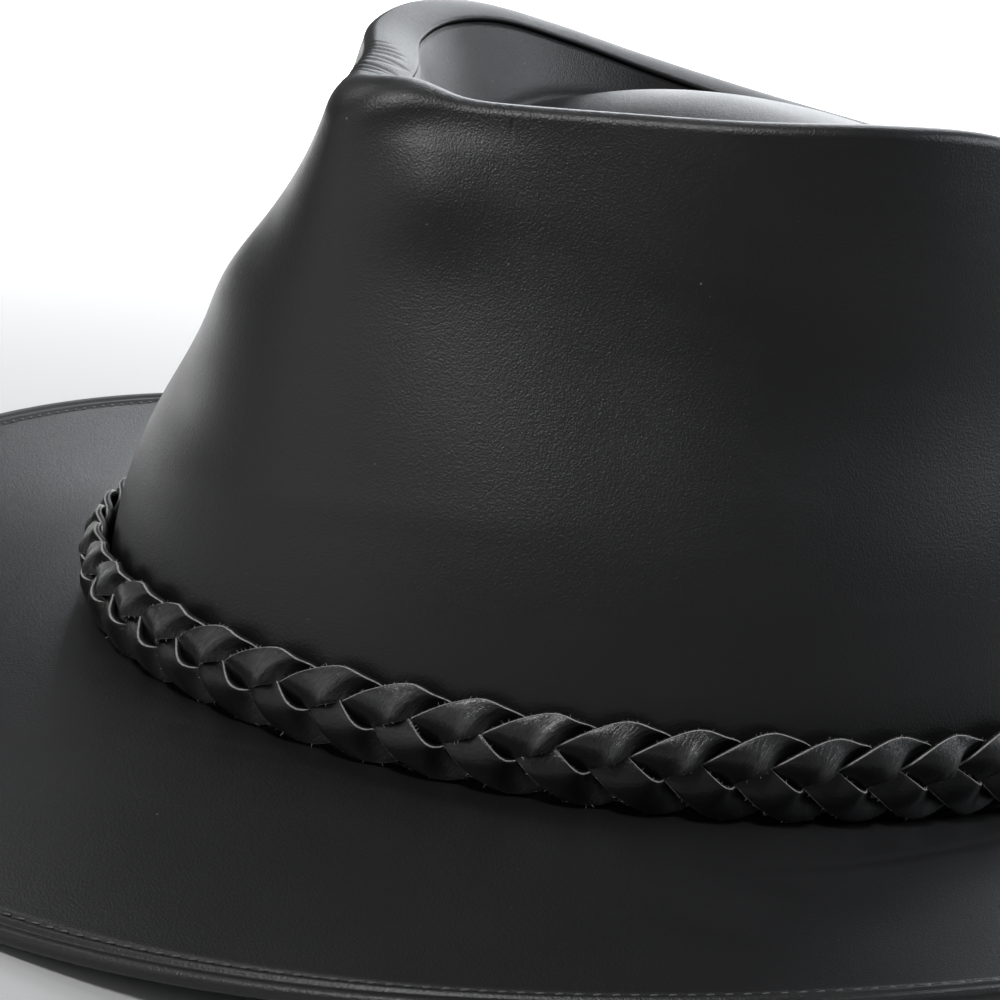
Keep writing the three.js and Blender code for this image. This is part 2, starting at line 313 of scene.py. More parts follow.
# %% Ridge curve
RIDGE = np.array([
    # angle, half width, along, height over the crown's foot
    (0, 0.0, -78.5, 102.2), (10, 3.1, -78.3, 102.0), (20, 6.6, -77.3, 101.5),
    (30, 10.1, -75.5, 101.2), (40, 14.1, -72.5, 101.1), (50, 20.0, -67.1, 101.7),
    (60, 29.8, -57.7, 102.9), (75, 48.0, -42.8, 105.3), (90, 60.1, -25.3, 107.6),
    (105, 64.6, -7.0, 107.9), (120, 62.6, 11.6, 105.1), (135, 54.9, 30.4, 101.0),
    (150, 40.7, 47.4, 97.4), (165, 21.3, 59.5, 95.1), (180, 0.0, 63.6, 94.3),
])

NEAR_RISE = {"high": 1.3, "angle": 20, "spread": 17}  # the wearer's left of the front stands higher


def ridge(degrees):
    """Points of the ridge in mm, smooth through the table and mirrored."""
    mirror = np.array([1, -1, 1, 1.0])
    far = RIDGE[-2:0:-1] * mirror
    far[:, 0] = 360 - RIDGE[-2:0:-1, 0]
    loop = np.vstack([RIDGE, far])
    table = np.vstack([loop[-2:] - [360, 0, 0, 0], loop, loop[:3] + [360, 0, 0, 0]])
    at = np.mod(degrees, 360.0)
    i = np.clip(np.searchsorted(table[:, 0], at, side="right") - 1, 1, len(table) - 3)
    a, b, c, d = (table[i + k] for k in (-1, 0, 1, 2))
    span = (c - b)[..., :1]
    x = (at[..., None] - b[..., :1]) / span
    leave = (c - a) / (c - a)[..., :1] * span
    arrive = (d - b) / (d - b)[..., :1] * span
    value = (b * (1 + 2 * x) * (1 - x) ** 2 + leave * x * (1 - x) ** 2
             + c * x ** 2 * (3 - 2 * x) + arrive * x ** 2 * (x - 1))
    point = value[..., 1:] + [0, 0, FOOT]
    near = bell(signed(degrees) - NEAR_RISE["angle"], NEAR_RISE["spread"])
    point[..., 2] += NEAR_RISE["high"] * near
    return point


def ridge_inward(degrees):
    """Level direction square to the ridge, towards the middle of the crown."""
    along = ridge(degrees + 1.5) - ridge(degrees - 1.5)
    inward = np.stack([-along[..., 1], along[..., 0], 0 * along[..., 0]], -1)
    return inward / np.linalg.norm(inward, axis=-1, keepdims=True)


def from_front(degrees):
    turn = np.mod(degrees, 360.0)
    return np.where(turn > 180, 360 - turn, turn)


# %% [markdown]
# ## The crown's side
#
# One wall, 2 mm thick, stands on an oval foot and leans in to the ridge, a little
# bellied low down and hollow at the sides. At the top it rolls over and is turned in
# as far as the seam. The roll is tight at the sides and wide at the narrow front.

# %% Sizes of the crown's side, in mm
HEAD_LENGTH = 103.0
HEAD_WIDTH = 88.5
LEATHER_THICK = 2.0
SKIVED = 0.9  # the turned-in edge is pared thin, so that the seam lies flat
ROLL = 2.4
FRONT_ROLL = 7.6
BELLY = 0.36
FRONT_BELLY = 0.15
FRONT_SPREAD = 24.0
FOLD = {"wide": 7.5, "less_at_front": 3.7, "spread": 27}
FOLD_DROP = {"deep": 2.0, "less_at_front": 1.7, "spread": 30}
FOLD_CURVE = 2.1
LAG = 10.0  # degrees by which a point of the ridge leads its foot at the sides
HOLLOW = {"deep": 4.5, "angle": 84, "spread": 30, "height": 0.66, "tall": 0.24}
CREASE = {"height": 0.36, "tall": 0.022, "rise": 0.22, "climb": 0.0011, "angle": 18, "spread": 26}
SWELL_END = 0.06  # the swells fade out over this share of the height, under the roll
SWELLS = [
    # angle, its spread, share of the height, its spread, way out: where the crown isn't even
    (-26, 17, 0.66, 0.10, 2.3),
    (-24, 17, 0.44, 0.07, -1.1),
    (33, 15, 0.88, 0.09, 1.9),
]


def near_front(degrees):
    return bell(from_front(degrees), FRONT_SPREAD)


def roll_radius(degrees):
    return ROLL + FRONT_ROLL * near_front(degrees)


def crown_foot(degrees):
    angle = np.radians(degrees - LAG * np.sin(np.radians(degrees)))
    return np.stack([HEAD_WIDTH * np.sin(angle), -HEAD_LENGTH * np.cos(angle),
                     np.full_like(angle, FOOT + GAP)], -1)


def top_lean(degrees):
    """Lean of the wall at the top, in radians: there the roll begins."""
    way = ridge(degrees) - crown_foot(degrees)
    inward = (way * ridge_inward(degrees)).sum(-1) - roll_radius(degrees)
    return np.arctan2(inward, way[..., 2])


def crown_wall(degrees, share):
    """Outer face of the crown, share 0 at the foot and 1 at the roll."""
    foot = crown_foot(degrees)
    inward = ridge_inward(degrees)
    radius = roll_radius(degrees)
    lean = top_lean(degrees)
    top = ridge(degrees) - inward * (radius * np.cos(lean))[..., None]
    top[..., 2] -= radius * (1 - np.sin(lean))
    belly = BELLY + FRONT_BELLY * near_front(degrees)
    run = share - belly * 4 * share * (1 - share) ** 2
    point = foot + (top - foot) * run[..., None]
    point[..., 2] = foot[..., 2] + (top - foot)[..., 2] * share
    round_by = bell(from_front(degrees) - HOLLOW["angle"], HOLLOW["spread"])
    up_by = bell(share - HOLLOW["height"], HOLLOW["tall"])
    dent = HOLLOW["deep"] * round_by * up_by * share * (1 - share) * 4
    for angle, wide, height, tall, out_by in SWELLS:
        swell = bell(signed(degrees) - angle, wide) * bell(share - height, tall)
        dent = dent - out_by * swell * smooth_step((1 - share) / SWELL_END)
    return point + inward * dent[..., None]


def fold_width(degrees):
    return FOLD["wide"] - FOLD["less_at_front"] * bell(from_front(degrees), FOLD["spread"])


def fold_drop(degrees):
    """The fold dips to the seam at the sides and lies level round the front."""
    less = FOLD_DROP["less_at_front"] * bell(from_front(degrees), FOLD_DROP["spread"])
    return FOLD_DROP["deep"] - less


def roll_point(degrees, inward_by, fall):
    point = ridge(degrees) + ridge_inward(degrees) * inward_by[..., None]
    point[..., 2] -= fall
    return point


print("roll radius at the front and the side, mm:", roll_radius(np.array([0.0, 90.0])).round(1))

# %% [markdown]
# ## Gathers
#
# Where the turned-in leather goes round the narrow front there is too much of it, so it
# is gathered into small pleats that run across the fold. Further along the ridge they
# are short and shallow. Each pleat is a narrow valley with a low swelling beside it.
# A table with a fixed seed holds its place, slant, width and depth, because real
# gathers are never even.

# %% Gathers of the fold
GATHERS = np.random.default_rng(11)
PLEAT_ENDS = (-44.0, 40.0)
FRONT_PLEATS = {"place": -24.0, "spread": 15.0}  # deepest just past the front, on the far side
TUCK = (23.5, 0.05, 0.17, 0.30, -7.2, -3.0)  # one sharp tuck at the near front corner


def pleat_table():
    """Rows of place along the ridge, slant, width, depth, outer end and inner end, in mm."""
    rows = []
    place, end = PLEAT_ENDS
    while place < end:
        front = math.exp(-((place - FRONT_PLEATS["place"]) / FRONT_PLEATS["spread"]) ** 2)
        depth = (0.05 + 0.42 * front) * GATHERS.uniform(0.4, 1.2)
        outer = -GATHERS.uniform(2.2, 4.0) - 3.0 * front * GATHERS.uniform(0.3, 1.0)
        inner = GATHERS.uniform(0.6, 2.0) + 7.5 * front * GATHERS.uniform(0.7, 1.0)
        slant = GATHERS.uniform(-0.22, 0.22)
        width = GATHERS.uniform(0.30, 0.55) * (1 + 1.3 * front)
        rows.append((place, slant, width, depth, outer, inner))
        place += GATHERS.uniform(1.8, 2.9) * (1 + 0.8 * front)
    return [*rows, TUCK]


PLEATS = pleat_table()


def gathers(along, across):
    """Depth of the gathers at a place along the ridge and across the roll, both in mm."""
    depth = np.zeros(np.broadcast(along, across).shape)
    for place, slant, width, deep, outer, inner in PLEATS:
        off = along - place - slant * across
        shape = bell(off, width) - 0.35 * bell(off - 2.0 * width, 1.3 * width)
        reach = smooth_step((across - outer) / 2.2) * smooth_step((inner - across) / 2.0)
        depth += deep * shape * reach
    return depth


print("gathers:", len(PLEATS))

# %% [markdown]
# ## Sections of the crown's side
#
# The sections stand close together round the front, where the gathers are, and wider
# apart elsewhere, so the mesh spends its faces where the eye looks.

# %% Crown side
WALL_ROWS = np.concatenate([np.linspace(0, 0.9, 50), np.linspace(0.915, 0.995, 10)])
FRONT_ARC = 64
SECTIONS = {"front": 420, "rest": 240}
UV_SECTION = 90  # the section that measures the way up the leather for all of them


def section_angles():
    front = np.linspace(-FRONT_ARC, FRONT_ARC, SECTIONS["front"], endpoint=False)
    rest = np.linspace(FRONT_ARC, 360 - FRONT_ARC, SECTIONS["rest"], endpoint=False)
    return np.concatenate([front, rest])[:, None]


def ridge_distance(degrees):
    """Signed way along the ridge from the front point, in mm, plus towards the left side."""
    fine = np.linspace(-180, 180, 2881)
    way = way_along(ridge(fine))
    way -= np.interp(0, fine, way)
    return np.interp(signed(degrees), fine, way)


def rolled_top(degrees):
    """Way in from the ridge and fall below it, row by row: over, in, round the lip and back."""
    radius = roll_radius(degrees)
    wide = fold_width(degrees)
    lean = top_lean(degrees)
    turn = lean + (math.pi / 2 - lean) * np.linspace(0, 1, 16)[None]
    share = np.linspace(0.08, 1, 16)[None]
    deep = gathers(ridge_distance(degrees), -radius * (math.pi / 2 - turn))
    over_in = -(radius - deep) * np.cos(turn)
    over_fall = radius - (radius - deep) * np.sin(turn)
    deep = gathers(ridge_distance(degrees), share * wide)
    fold_in = share * wide
    fold_fall = fold_drop(degrees) * share ** FOLD_CURVE + deep * smooth_step((1 - share) * 8)
    lip_in = wide + np.array([[0.16, 0.12, -0.2]])
    lip_fall = fold_drop(degrees) + np.array([[0.25, 0.65, SKIVED]])
    share = np.array([[0.82, 0.6, 0.36, 0.12]])
    back_in = share * wide
    thick = SKIVED + (LEATHER_THICK - SKIVED) * smooth_step((1 - share) * 2.5)
    back_fall = fold_drop(degrees) * share ** FOLD_CURVE + thick
    turn = lean + (math.pi / 2 - lean) * np.array([[0.8, 0.5, 0.15]])
    inside = radius - LEATHER_THICK
    under_in = -inside * np.cos(turn)
    under_fall = radius - inside * np.sin(turn)
    inward_by = np.concatenate([over_in, fold_in, lip_in, back_in, under_in], 1)
    fall = np.concatenate([over_fall, fold_fall, lip_fall, back_fall, under_fall], 1)
    return inward_by, fall


def outer_wall(degrees):
    rows = WALL_ROWS[None]
    wall = crown_wall(degrees + 0 * rows, rows + 0 * degrees)
    tall = ridge(degrees)[..., 2] - FOOT
    across = -roll_radius(degrees) * math.pi / 2 - (1 - rows) * tall
    deep = gathers(ridge_distance(degrees), across)
    mark = CREASE["rise"] * bell(rows - CREASE["height"] - CREASE["climb"] * degrees, CREASE["tall"])
    deep = deep - mark * bell(signed(degrees) - CREASE["angle"], CREASE["spread"])
    return wall + ridge_inward(degrees + 0 * rows) * deep[..., None]


def make_crown_side():
    degrees = section_angles()
    outer = outer_wall(degrees)
    inward_by, fall = rolled_top(degrees)
    roll = roll_point(degrees + 0 * fall, inward_by, fall)
    back_rows = np.linspace(0.97, 0, 16)[None]
    inner = crown_wall(degrees + 0 * back_rows, back_rows + 0 * degrees)
    inner = inner + ridge_inward(degrees + 0 * back_rows) * LEATHER_THICK
    grid = np.concatenate([outer, roll, inner], 1)
    along = np.radians(degrees[:, 0]) * math.sqrt((HEAD_LENGTH ** 2 + HEAD_WIDTH ** 2) / 2)
    return swept_mesh("crown_wall", grid, (along, way_along(grid[UV_SECTION])), crown_leather)


crown_side = make_crown_side()
print("crown side faces:", len(crown_side.data.polygons))

# %% [markdown]
# ## The crown's tip
#
# The top panel is sewn in under the fold. Just inside the seam it falls steeply, lowest
# at the front, and in the middle it rises again as a low dome. The height is the larger
# of a wall and a dome, with the corner between them rounded.

# %% Crown tip
TIP_THICK = 2.0
TIP_SECTIONS = 240
TIP_MIDDLE = 2  # where the sections meet, behind the middle of the hat
TIP_FALL = 1.7  # mm down for each mm in, just inside the seam
SEAM_SLACK = 0.15
RIDGE_ROUND = 380  # about the way round the ridge, for the UV map
DOME = {"top": 101.2, "curve": 3.6, "middle": 8, "ahead": 18, "behind": 28, "side": 31, "corner": 5}


def rounded_max(a, b, rounding):
    mix = np.clip(0.5 + (a - b) / (2 * rounding), 0, 1)
    return b + (a - b) * mix + rounding * mix * (1 - mix)


def tip_point(degrees, share):
    edge = roll_point(degrees, fold_width(degrees) + SEAM_SLACK,
                      fold_drop(degrees) + SKIVED + SEAM_SLACK)
    middle = edge.copy()
    middle[..., 0] = 0
    middle[..., 1] = TIP_MIDDLE
    point = edge + (middle - edge) * (1 - share)[..., None]
    wall = edge[..., 2] - TIP_FALL * np.linalg.norm((point - edge)[..., :2], axis=-1)
    along = point[..., 1] - DOME["middle"]
    reach = np.where(along < 0, DOME["ahead"], DOME["behind"])
    curve = DOME["curve"] * ((along / reach) ** 2 + (point[..., 0] / DOME["side"]) ** 2)
    point[..., 2] = rounded_max(wall, FOOT + DOME["top"] - curve, DOME["corner"])
    return point


def make_crown_tip():
    degrees = np.linspace(0, 360, TIP_SECTIONS, endpoint=False)[:, None]
    shares = (1 - np.append(np.linspace(0, 0.9985, 60), 0.9997) ** 1.15)[None]
    face = tip_point(degrees + 0 * shares, shares + 0 * degrees)
    reach = np.array([[3.2, 2.0, 1.0]])
    lip = roll_point(degrees + 0 * reach, fold_width(degrees) - reach,
                     fold_drop(degrees) + SKIVED + GAP + 0.14 * reach)
    top = np.concatenate([lip, face], 1)
    along = np.roll(top, -1, 0) - np.roll(top, 1, 0)
    inwards = np.gradient(top, axis=1)
    down = np.cross(inwards, along)
    down /= np.linalg.norm(down, axis=-1, keepdims=True) + 1e-9
    down *= np.where(down[..., 2:] > 0, -1, 1)
    under = (top + down * TIP_THICK)[:, ::-1]
    grid = np.concatenate([top, under], 1)
    uv = (degrees[:, 0] / 360 * RIDGE_ROUND, way_along(grid[TIP_SECTIONS // 4]))
    return swept_mesh("crown_top_panel", grid, uv, crown_leather)


crown_tip = make_crown_tip()
print("crown tip faces:", len(crown_tip.data.polygons))

# %% [markdown]
# ## The brim
#
# The brim is a ring of leather that dips at the front and back and curls up at the
# sides. Its edge is turned under round a stiff cord, which shows as a bead, and sewn
# down with one row of stitches. The row pulls a shallow groove into the leather.

# %% Brim
BRIM_LENGTH = 172.5
BRIM_WIDTH = 158.0
BRIM_THICK = 2.2
BRIM_SECTIONS = 540
BRIM_ROOM = 0.3  # the brim reaches this far inside the crown's wall
BRIM_FLAT = 0.06  # the share of the brim that lies level, next to the crown
BRIM_DIP = {"mean": -5.8, "swing": -11.7, "side_sag": 2.5}
BRIM_BEND = {"even": 0.38, "late": 0.62}
HEM = 6.6
HEM_FOLD = 0.35  # the turned-under leather is pared, so it adds little
BEAD = {"wide": 1.2, "high": 1.3, "drop": 1.2}
STITCH_INSET = 4.3
HEM_RELIEF = [
    # inset, spread, height over the face: the thread's groove, a low swelling, a valley
    (STITCH_INSET, 0.5, -0.28), (3.35, 0.5, 0.20), (2.45, 0.38, -0.28),
]


def brim_top(degrees, share):
    angle = np.radians(degrees)
    inner_width = HEAD_WIDTH - LEATHER_THICK - BRIM_ROOM
    inner_length = HEAD_LENGTH - LEATHER_THICK - BRIM_ROOM
    half_width = inner_width + (BRIM_WIDTH - inner_width) * share
    half_length = inner_length + (BRIM_LENGTH - inner_length) * share
    dip = BRIM_DIP["mean"] + BRIM_DIP["swing"] * np.cos(2 * angle)
    rise = np.maximum(0, share - BRIM_FLAT) / (1 - BRIM_FLAT)
    bend = rise * BRIM_BEND["even"] + rise ** 2 * BRIM_BEND["late"]
    height = dip * bend - BRIM_DIP["side_sag"] * np.sin(angle) ** 2 * np.sin(math.pi * rise)
    return np.stack([half_width * np.sin(angle), -half_length * np.cos(angle), FOOT + height], -1)


def brim_axes(degrees, share):
    """Directions out along the brim's face and square to it."""
    outwards = brim_top(degrees, share) - brim_top(degrees, share - 0.03)
    outwards /= np.linalg.norm(outwards, axis=-1, keepdims=True)
    level = outwards * [1, 1, 0]
    flat = np.linalg.norm(level, axis=-1, keepdims=True)
    level /= flat
    up = np.concatenate([-level[..., :2] * outwards[..., 2:], flat], -1)
    return outwards, up


def brim_point(degrees, share, out_by, up_by):
    outwards, up = brim_axes(degrees, share)
    point = brim_top(degrees, share) + outwards * out_by[..., None] + up * up_by[..., None]
    point[..., 2] = np.maximum(point[..., 2], 0)
    return point


def hem_relief(inset):
    return sum(high * bell(inset - place, spread) for place, spread, high in HEM_RELIEF)


def hem_section():
    """The bead and the turned edge: way out from the edge and height over the face."""
    wide, high, drop = BEAD["wide"], BEAD["high"], BEAD["drop"]
    top = [(-s, hem_relief(s)) for s in np.linspace(5.7, 2 * wide + 0.05, 34)]
    turn = np.radians(np.linspace(138, -140, 30))
    bead = [(-wide + wide * math.cos(a), -drop + high * math.sin(a)) for a in turn]
    under = [(-s, -BRIM_THICK - HEM_FOLD) for s in (3.0, 3.8, 4.6, 5.6, HEM)]
    edge = [(-HEM - 0.1, -BRIM_THICK - 0.25), (-HEM - 0.2, -BRIM_THICK - 0.1), (-HEM - 0.4, -BRIM_THICK)]
    return np.array(top + bead + under + edge)


def brim_relief(degrees, share):
    """Low creases in the face: a long one outside the braid and short ones at its front."""
    turn = signed(degrees)
    line = 0.20 + 0.09 * bell(turn - 60, 16) - 0.0011 * (turn - 60)
    crease = -0.16 * bell(share - line, 0.012) * bell(turn - 74, 13)
    swell = 0.12 * bell(share - line - 0.035, 0.025) * bell(turn - 74, 15)
    wave = np.sin(np.radians(turn) * 46 + 60 * share) + 0.6 * np.sin(np.radians(turn) * 71 - 35 * share)
    short = 0.045 * wave * bell(turn - 14, 13) * bell(share - 0.16, 0.05)
    soft = 0.25 * np.sin(np.radians(turn) * 3 + 1.0) * np.sin(share * 7 + np.radians(turn))
    return crease + swell + short + soft * share * (1 - share)


def make_brim():
    degrees = np.linspace(0, 360, BRIM_SECTIONS, endpoint=False)[:, None]
    rows = np.concatenate([np.linspace(0, 0.4, 44), np.linspace(0.42, 0.915, 28)])[None]
    level = 0 * (degrees + rows)
    face = brim_point(degrees + level, rows + level, level, level + brim_relief(degrees, rows))
    section = hem_section()
    out_by = section[:, 0] + 0 * degrees
    up_by = section[:, 1] + 0 * degrees
    hem = brim_point(degrees + 0 * out_by, 1 + 0 * out_by, out_by, up_by)
    back_rows = np.linspace(0.895, 0, 16)[None]
    level = 0 * (degrees + back_rows)
    under = brim_point(degrees + level, back_rows + level, level, level - BRIM_THICK)
    grid = np.concatenate([face, hem, under], 1)
    across = way_along(grid[BRIM_SECTIONS // 4])
    along = degrees[:, 0] / 360 * 2 * math.pi * math.sqrt((BRIM_LENGTH ** 2 + BRIM_WIDTH ** 2) / 2)
    return swept_mesh("hat_brim", grid, (along, across), brim_leather)


brim = make_brim()
print("brim faces:", len(brim.data.polygons))

# %% [markdown]
# ## Stitches by Geometry Nodes
#
# One row of dark thread holds the hem, 2.6 mm from stitch to stitch, and it shows on
# both faces. Geometry Nodes suit a thing that repeats along a path: the path becomes a
# curve, the curve is cut into even steps, and each step gets one small thread that is
# turned along the row and square to the leather. A helper adds nodes and named inputs.

# %% Helpers for node groups


class Group:
    def __init__(self, name, **inputs):
        self.tree = bpy.data.node_groups.new(name, "GeometryNodeTree")
        self.tree.interface.new_socket("Geometry", in_out="INPUT", socket_type="NodeSocketGeometry")
        self.ids = {}
        for label, (kind, value) in inputs.items():
            socket = self.tree.interface.new_socket(label, in_out="INPUT", socket_type="NodeSocket" + kind)
            self.ids[label] = (socket.identifier, value)
        self.tree.interface.new_socket("Geometry", in_out="OUTPUT", socket_type="NodeSocketGeometry")
        self.source = self.tree.nodes.new("NodeGroupInput")

    def value(self, label):
        return self.source.outputs[label]

    def node(self, kind, settings=None, **inputs):
        return add_node(self.tree, kind, settings, inputs).outputs

    def finish(self, instances):
        real = self.node("GeometryNodeRealizeInstances", Geometry=instances)["Geometry"]
        painted = self.node("GeometryNodeSetMaterial", Geometry=real, Material=self.value("Material"))
        self.tree.links.new(painted["Geometry"], self.tree.nodes.new("NodeGroupOutput").inputs["Geometry"])

    def apply(self, name, base, material):
        """Runs the group on a base object and keeps the result as a plain mesh object."""
        modifier = base.modifiers.new(self.tree.name, "NODES")
        modifier.node_group = self.tree
        for label, (identifier, value) in self.ids.items():
            modifier[identifier] = material if label == "Material" else value
        bpy.context.view_layer.update()
        evaluated = base.evaluated_get(bpy.context.evaluated_depsgraph_get())
        mesh = bpy.data.meshes.new_from_object(evaluated)
        mesh.name = name
        base.modifiers.remove(modifier)
        bpy.data.objects.remove(base)
        return link(name, mesh)


def base_mesh(name, points, edges, faces, normals):
    """An object that carries a node group: points in mm, with their outward directions."""
    mesh = bpy.data.meshes.new(name)
    mesh.from_pydata((points * MM).tolist(), edges, faces)
    stored = mesh.attributes.new("face_up", "FLOAT_VECTOR", "POINT")
    stored.data.foreach_set("vector", normals.reshape(-1).astype(np.float32))
    return link(name, mesh)


# %% Hem stitches
def plain_material(name, colour, roughness):
    material, tree, shader, place = new_material(name)
    shader.inputs["Base Color"].default_value = (*colour, 1)
    shader.inputs["Roughness"].default_value = roughness
    return material


# The thread is black; this lighter grey is a painted highlight that makes the stitches show as pale dots.
thread = plain_material("waxed_thread", (0.09, 0.09, 0.09), 0.42)
PITCH = 2.6
THREAD = {"long": 1.35, "wide": 0.46, "high": 0.40, "slant": 9, "sunk": 0.12, "under": 0.05}


def stitch_group():
    group = Group("stitch_row", Pitch=("Float", PITCH * MM), Length=("Float", THREAD["long"] * MM),
                  Width=("Float", THREAD["wide"] * MM), Height=("Float", THREAD["high"] * MM),
                  Slant=("Float", math.radians(THREAD["slant"])), Material=("Material", None))
    curve = group.node("GeometryNodeMeshToCurve", Mesh=group.value("Geometry"))["Curve"]
    even = group.node("GeometryNodeResampleCurve", {"mode": "LENGTH"}, Curve=curve,
                      Length=group.value("Pitch"))
    bead = group.node("GeometryNodeMeshUVSphere", Segments=8, Rings=5, Radius=0.5)["Mesh"]
    size = group.node("ShaderNodeCombineXYZ", X=group.value("Length"), Y=group.value("Width"),
                      Z=group.value("Height"))["Vector"]
    shape = group.node("GeometryNodeTransform", Geometry=bead, Scale=size)["Geometry"]
    tangent = group.node("GeometryNodeInputTangent")["Tangent"]
    face_up = group.node("GeometryNodeInputNamedAttribute", {"data_type": "FLOAT_VECTOR"}, Name="face_up")
    ahead = group.node("FunctionNodeAlignRotationToVector", {"axis": "X"}, Vector=tangent)["Rotation"]
    upright = group.node("FunctionNodeAlignRotationToVector", {"axis": "Z", "pivot_axis": "X"},
                         Rotation=ahead, Vector=face_up[0])["Rotation"]
    spin = group.node("ShaderNodeCombineXYZ", Z=group.value("Slant"))["Vector"]
    slanted = group.node("FunctionNodeRotateRotation", {"rotation_space": "LOCAL"}, Rotation=upright,
                         Rotate_By=spin)["Rotation"]
    group.finish(group.node("GeometryNodeInstanceOnPoints", Points=even["Curve"], Instance=shape,
                            Rotation=slanted)["Instances"])
    return group


def stitch_row(name, group, height, side):
    degrees = np.linspace(0, 360, 720, endpoint=False)
    one = np.ones_like(degrees)
    points = brim_point(degrees, one, -STITCH_INSET * one, height * one)
    up = brim_axes(degrees, one)[1] * side
    count = len(points)
    edges = [(i, (i + 1) % count) for i in range(count)]
    return group.apply(name, base_mesh(name + "_path", points, edges, [], up), thread)


stitches = stitch_group()
under_height = -BRIM_THICK - HEM_FOLD - THREAD["under"]
stitch_rows = [stitch_row("hem_stitches_top", stitches, -THREAD["sunk"], 1),
               stitch_row("hem_stitches_under", stitches, under_height, -1)]
print("stitch faces:", [len(row.data.polygons) for row in stitch_rows])

# %% [markdown]
# ## The braid
#
# Three flat straps take turns: each rises from the middle of the band over its
# neighbour to the top edge, dives behind, and comes up again in the lower row. That is
# one wave up and down and two waves in and out. The strap arches across its width
# where it lies on top, and its cut edges show paler.

# %% Sizes of the braid, in mm
BAND_HEIGHT = 7.9
TURNS = 18
STRAPS = 3
STRAP_WIDTH = 5.9
STRAP_THICK = 1.25
SWAY = 4.15
WEAVE = 1.55
STAND_OFF = 2.9
BAND_SHIFT = -18.6
STEPS_PER_TURN = 72
LOW_ROW = 1.5 * math.pi  # where the wave is lowest
LOW_SINK = {"deep": 0.35, "spread": 0.8}
TILT = {"crossing": 0.16, "low_row": 0.20, "spread": 0.9}
ARCH = {"high": 0.85, "low_row": 0.55}
HUMP = {"high": 0.85, "place": 1.42, "slant": 0.55, "spread": 0.30}
UNEVEN = np.random.default_rng(5)


def band_frames():
    """Middle line of the band with its along, up and out directions."""
    share = BAND_HEIGHT / RIDGE[0, 3]
    degrees = np.linspace(0, 360, 1440, endpoint=False)
    one = np.ones_like(degrees)
    middle = crown_wall(degrees, share * one)
    along = crown_wall(degrees + 0.5, share * one) - crown_wall(degrees - 0.5, share * one)
    along /= np.linalg.norm(along, axis=1, keepdims=True)
    up = crown_wall(degrees, (share + 0.03) * one) - crown_wall(degrees, (share - 0.03) * one)
    up -= along * (up * along).sum(1, keepdims=True)
    up /= np.linalg.norm(up, axis=1, keepdims=True)
    out = np.cross(along, up)
    middle[:, 2] = FOOT + BAND_HEIGHT
    middle = middle + out * STAND_OFF
    length = np.linalg.norm(np.roll(middle, -1, 0) - middle, axis=1)
    at = np.concatenate([[0], np.cumsum(length)])
    return middle, along, up, out, at


BAND = band_frames()
BAND_LENGTH = BAND[4][-1]
print("band length, mm:", round(BAND_LENGTH, 1))


def band_at(distance):
    middle, along, up, out, at = BAND
    where = np.mod(distance, BAND_LENGTH)
    return [np.stack([np.interp(where, at, np.append(a[:, k], a[0, k])) for k in range(3)], -1)
            for a in (middle, along, up, out)]


# %% [markdown]
# ## Leather of the straps
#
# The straps are cut, not turned, so each edge shows the raw inside of the leather: a
# thin, rough, paler line. Where a strap humps over its neighbour the skin is creased
# into fine slanting crinkles, more polished than the rest. There its colour is made
# paler too, partly as creased skin is and partly as a painted highlight of the sheen
# on the hump. Both follow the strap, so the mesh carries two attributes, `cut_edge`
# and `hump`, and the crinkles use the strap's own UV map.

# %% Strap material
def attribute(tree, name):
    node = tree.nodes.new("ShaderNodeAttribute")
    node.attribute_name = name
    return Wire(tree, node.outputs["Fac"])


# The paler tone for the humps is partly creased skin and partly a painted highlight of their sheen.
STRAP_TONES = {"new": (0.0080, 0.0080, 0.0085, 1), "worn": (0.016, 0.016, 0.017, 1),
               "crease_and_painted_sheen": (0.10, 0.10, 0.10, 1), "cut": (0.42, 0.41, 0.395, 1)}
CRINKLE_SLANT = -50
CRINKLE_HEIGHT = 0.00022


def strap_material():
    material, tree, shader, place = new_material("band_skin")
    edge = attribute(tree, "cut_edge")
    hump = attribute(tree, "hump")
    strip = tree.nodes.new("ShaderNodeUVMap")
    strip.uv_map = "along_across"
    flat = Wire(tree, strip.outputs["UV"])
    drift = place.noise(45.0, 3.0)
    pore = place.noise(1500.0, 3.0, 0.65)
    fuzz = place.noise(1300.0, 3.0, 0.7)
    slanted = flat.node("ShaderNodeMapping", i0=flat, i2=(0, 0, math.radians(CRINKLE_SLANT)))
    crinkle = slanted.stretched(0.45, 1.6, 1.0).noise(1500.0, 3.0, 0.65, 0.6)
    cut = (edge * (fuzz + 0.45)).fade(0.35, 0.85)
    tone = (drift.fade(0.4, 0.8) * 0.5).mix(STRAP_TONES["new"], STRAP_TONES["worn"])
    # Painted highlight: the humps are mixed towards the paler tone, partly for the creased skin and partly
    # to stand in for their sheen.
    tone = (hump * (crinkle.fade(0.35, 0.65) * 0.6 + 0.3)).mix(tone, STRAP_TONES["crease_and_painted_sheen"])
    cut.mix(tone, STRAP_TONES["cut"]).feed(shader, "Base Color")
    rough = 0.31 + (drift - 0.5) * 0.12 + (pore - 0.5) * 0.08 + cut * 0.4
    rough.feed(shader, "Roughness")
    (hump * 0.9).feed(shader, "Coat Weight")
    shader.inputs["Coat Roughness"].default_value = 0.32
    height = pore * 0.4 + crinkle * (0.3 + hump * 2.2) + fuzz * cut * 2.5
    place.node("ShaderNodeBump", Strength=0.8, Distance=CRINKLE_HEIGHT, Height=height).feed(shader, "Normal")
    return material


band_leather = strap_material()

# %% [markdown]
# ## Sweeping the straps
#
# A strap's section is a flat band with square cut edges. The sweep turns it along the
# wave, tips it at the crossings, arches it where it lies on top, and turns the lower row
# a little downwards. No hand braids evenly, so a few slow waves with a fixed seed
# change each strap's sway, weave, tilt and hump.


# %% Straps
FACE_POINTS = 15


